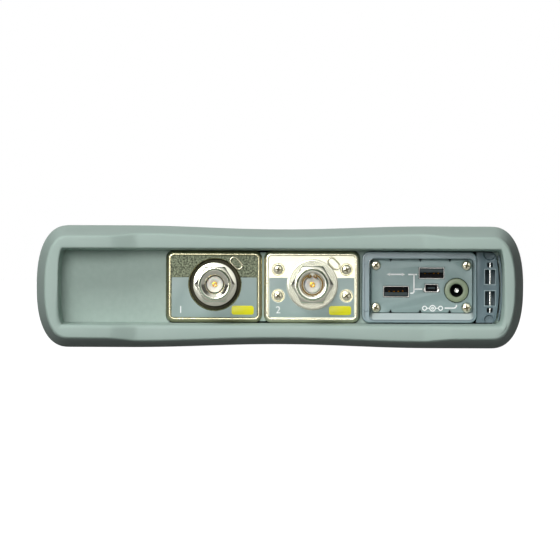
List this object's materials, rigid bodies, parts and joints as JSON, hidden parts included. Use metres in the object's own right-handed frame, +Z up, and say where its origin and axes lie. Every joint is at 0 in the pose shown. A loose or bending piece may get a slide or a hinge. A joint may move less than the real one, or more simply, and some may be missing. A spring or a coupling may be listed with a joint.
{
  "type": "handheld antenna analyzer",
  "caption": "Handheld antenna analyzer in a flared rubber bumper, with type N radio ports, data and power sockets, display, sprung keys, a low knob, a folding stand and a battery door.",
  "frame": {"origin": "on the surface that the instrument lies on, below the middle of its outline", "axes": "+Z up out of the display, +X along the width to the socket side, -Y out of the connector end"},
  "size_m": [0.25, 0.177, 0.0626],
  "materials": {
    "rubber": "matt moulded grey-green rubber",
    "case_plastic": "fine grain moulded plastic",
    "panel_plastic": "fine grain moulded plastic",
    "port_casting": "nickel-plated casting",
    "nickel": "nickel-plated, turned",
    "ptfe": "turned white insulator",
    "gold": "gold-plated, turned",
    "spring_bronze": "stamped spring bronze",
    "bay_plastic": "moulded blue-grey plastic",
    "plate_plastic": "painted plate, printed lines",
    "steel": "drawn steel",
    "black_plastic": "moulded black plastic",
    "olive_plastic": "moulded olive plastic",
    "display_glass": "polished dark glass",
    "display_unit": "matt frame",
    "key_rubber": "matt silicone rubber",
    "encoder_steel": "stamped steel",
    "board": "solder mask",
    "battery_case": "moulded black plastic",
    "knob_plastic": "moulded, ribbed edge",
    "stand_plastic": "moulded plastic"
  },
  "bodies": {
    "housing": {"bumper": "rubber", "front_case": "case_plastic", "rear_case": "case_plastic", "connector_panel": "panel_plastic", "rf_port_housing_1": "port_casting", "rf_port_housing_2": "port_casting", "rf_connector_1": "nickel", "rf_connector_2": "nickel", "rf_insulator_1": "ptfe", "rf_insulator_2": "ptfe", "rf_contact_1": "gold", "rf_contact_2": "gold", "rf_retaining_ring": "spring_bronze", "io_bay": "bay_plastic", "io_plate": "plate_plastic", "usb_a_shell_1": "steel", "usb_a_shell_2": "steel", "usb_mini_shell": "steel", "usb_a_tongue_1": "black_plastic", "usb_a_tongue_2": "black_plastic", "usb_mini_tongue": "black_plastic", "dc_jack_body": "olive_plastic", "dc_jack_pin": "steel", "door_hinge_pin": "steel", "display_window": "display_glass", "display_module": "display_unit", "keypad_mat": "key_rubber", "rotary_encoder": "encoder_steel", "main_board": "board", "battery_pack": "battery_case", "tilt_stand_pin": "steel"},
    "key_escape": {"key_escape": "key_rubber"},
    "key_shift": {"key_shift": "key_rubber"},
    "key_enter": {"key_enter": "key_rubber"},
    "key_digit_7": {"key_digit_7": "key_rubber"},
    "key_digit_8": {"key_digit_8": "key_rubber"},
    "key_digit_9": {"key_digit_9": "key_rubber"},
    "key_digit_4": {"key_digit_4": "key_rubber"},
    "key_digit_5": {"key_digit_5": "key_rubber"},
    "key_digit_6": {"key_digit_6": "key_rubber"},
    "key_digit_1": {"key_digit_1": "key_rubber"},
    "key_digit_2": {"key_digit_2": "key_rubber"},
    "key_digit_3": {"key_digit_3": "key_rubber"},
    "key_digit_0": {"key_digit_0": "key_rubber"},
    "key_point": {"key_point": "key_rubber"},
    "key_sign": {"key_sign": "key_rubber"},
    "key_up": {"key_up": "key_rubber"},
    "key_down": {"key_down": "key_rubber"},
    "key_left": {"key_left": "key_rubber"},
    "key_right": {"key_right": "key_rubber"},
    "key_power": {"key_power": "key_rubber"},
    "key_function_1": {"key_function_1": "key_rubber"},
    "key_function_2": {"key_function_2": "key_rubber"},
    "key_function_3": {"key_function_3": "key_rubber"},
    "key_function_4": {"key_function_4": "key_rubber"},
    "knob": {"rotary_knob": "knob_plastic"},
    "tilt_stand": {"tilt_stand": "stand_plastic"},
    "battery_door": {"battery_door": "case_plastic"}
  },
  "joints": [
    {"name": "key_escape_press", "type": "slide", "parent": "housing", "child": "key_escape", "axis": [0, 0, -1], "range_m": [0, 0.0008], "stiffness_N_per_m": 900, "springref_m": -0.0004},
    {"name": "key_shift_press", "type": "slide", "parent": "housing", "child": "key_shift", "axis": [0, 0, -1], "range_m": [0, 0.0008], "stiffness_N_per_m": 900, "springref_m": -0.0004},
    {"name": "key_enter_press", "type": "slide", "parent": "housing", "child": "key_enter", "axis": [0, 0, -1], "range_m": [0, 0.0008], "stiffness_N_per_m": 900, "springref_m": -0.0004},
    {"name": "key_digit_7_press", "type": "slide", "parent": "housing", "child": "key_digit_7", "axis": [0, 0, -1], "range_m": [0, 0.0008], "stiffness_N_per_m": 900, "springref_m": -0.0004},
    {"name": "key_digit_8_press", "type": "slide", "parent": "housing", "child": "key_digit_8", "axis": [0, 0, -1], "range_m": [0, 0.0008], "stiffness_N_per_m": 900, "springref_m": -0.0004},
    {"name": "key_digit_9_press", "type": "slide", "parent": "housing", "child": "key_digit_9", "axis": [0, 0, -1], "range_m": [0, 0.0008], "stiffness_N_per_m": 900, "springref_m": -0.0004},
    {"name": "key_digit_4_press", "type": "slide", "parent": "housing", "child": "key_digit_4", "axis": [0, 0, -1], "range_m": [0, 0.0008], "stiffness_N_per_m": 900, "springref_m": -0.0004},
    {"name": "key_digit_5_press", "type": "slide", "parent": "housing", "child": "key_digit_5", "axis": [0, 0, -1], "range_m": [0, 0.0008], "stiffness_N_per_m": 900, "springref_m": -0.0004},
    {"name": "key_digit_6_press", "type": "slide", "parent": "housing", "child": "key_digit_6", "axis": [0, 0, -1], "range_m": [0, 0.0008], "stiffness_N_per_m": 900, "springref_m": -0.0004},
    {"name": "key_digit_1_press", "type": "slide", "parent": "housing", "child": "key_digit_1", "axis": [0, 0, -1], "range_m": [0, 0.0008], "stiffness_N_per_m": 900, "springref_m": -0.0004},
    {"name": "key_digit_2_press", "type": "slide", "parent": "housing", "child": "key_digit_2", "axis": [0, 0, -1], "range_m": [0, 0.0008], "stiffness_N_per_m": 900, "springref_m": -0.0004},
    {"name": "key_digit_3_press", "type": "slide", "parent": "housing", "child": "key_digit_3", "axis": [0, 0, -1], "range_m": [0, 0.0008], "stiffness_N_per_m": 900, "springref_m": -0.0004},
    {"name": "key_digit_0_press", "type": "slide", "parent": "housing", "child": "key_digit_0", "axis": [0, 0, -1], "range_m": [0, 0.0008], "stiffness_N_per_m": 900, "springref_m": -0.0004},
    {"name": "key_point_press", "type": "slide", "parent": "housing", "child": "key_point", "axis": [0, 0, -1], "range_m": [0, 0.0008], "stiffness_N_per_m": 900, "springref_m": -0.0004},
    {"name": "key_sign_press", "type": "slide", "parent": "housing", "child": "key_sign", "axis": [0, 0, -1], "range_m": [0, 0.0008], "stiffness_N_per_m": 900, "springref_m": -0.0004},
    {"name": "key_up_press", "type": "slide", "parent": "housing", "child": "key_up", "axis": [0, 0, -1], "range_m": [0, 0.0008], "stiffness_N_per_m": 900, "springref_m": -0.0004},
    {"name": "key_down_press", "type": "slide", "parent": "housing", "child": "key_down", "axis": [0, 0, -1], "range_m": [0, 0.0008], "stiffness_N_per_m": 900, "springref_m": -0.0004},
    {"name": "key_left_press", "type": "slide", "parent": "housing", "child": "key_left", "axis": [0, 0, -1], "range_m": [0, 0.0008], "stiffness_N_per_m": 900, "springref_m": -0.0004},
    {"name": "key_right_press", "type": "slide", "parent": "housing", "child": "key_right", "axis": [0, 0, -1], "range_m": [0, 0.0008], "stiffness_N_per_m": 900, "springref_m": -0.0004},
    {"name": "key_power_press", "type": "slide", "parent": "housing", "child": "key_power", "axis": [0, 0, -1], "range_m": [0, 0.0008], "stiffness_N_per_m": 900, "springref_m": -0.0004},
    {"name": "key_function_1_press", "type": "slide", "parent": "housing", "child": "key_function_1", "axis": [0, 0, -1], "range_m": [0, 0.0008], "stiffness_N_per_m": 900, "springref_m": -0.0004},
    {"name": "key_function_2_press", "type": "slide", "parent": "housing", "child": "key_function_2", "axis": [0, 0, -1], "range_m": [0, 0.0008], "stiffness_N_per_m": 900, "springref_m": -0.0004},
    {"name": "key_function_3_press", "type": "slide", "parent": "housing", "child": "key_function_3", "axis": [0, 0, -1], "range_m": [0, 0.0008], "stiffness_N_per_m": 900, "springref_m": -0.0004},
    {"name": "key_function_4_press", "type": "slide", "parent": "housing", "child": "key_function_4", "axis": [0, 0, -1], "range_m": [0, 0.0008], "stiffness_N_per_m": 900, "springref_m": -0.0004},
    {"name": "knob_turn", "type": "hinge", "parent": "housing", "child": "knob", "pos_m": [-0.074, -0.028, 0.0561], "axis": [0, 0, 1], "continuous": true},
    {"name": "tilt_stand_swing", "type": "hinge", "parent": "housing", "child": "tilt_stand", "pos_m": [0, -0.0459, 0.0054], "axis": [-1, 0, 0], "range_deg": [0, 68]},
    {"name": "battery_door_tip", "type": "hinge", "parent": "housing", "child": "battery_door", "pos_m": [0, 0.0058, 0.003], "axis": [-1, 0, 0], "range_deg": [0, 75]}
  ]
}
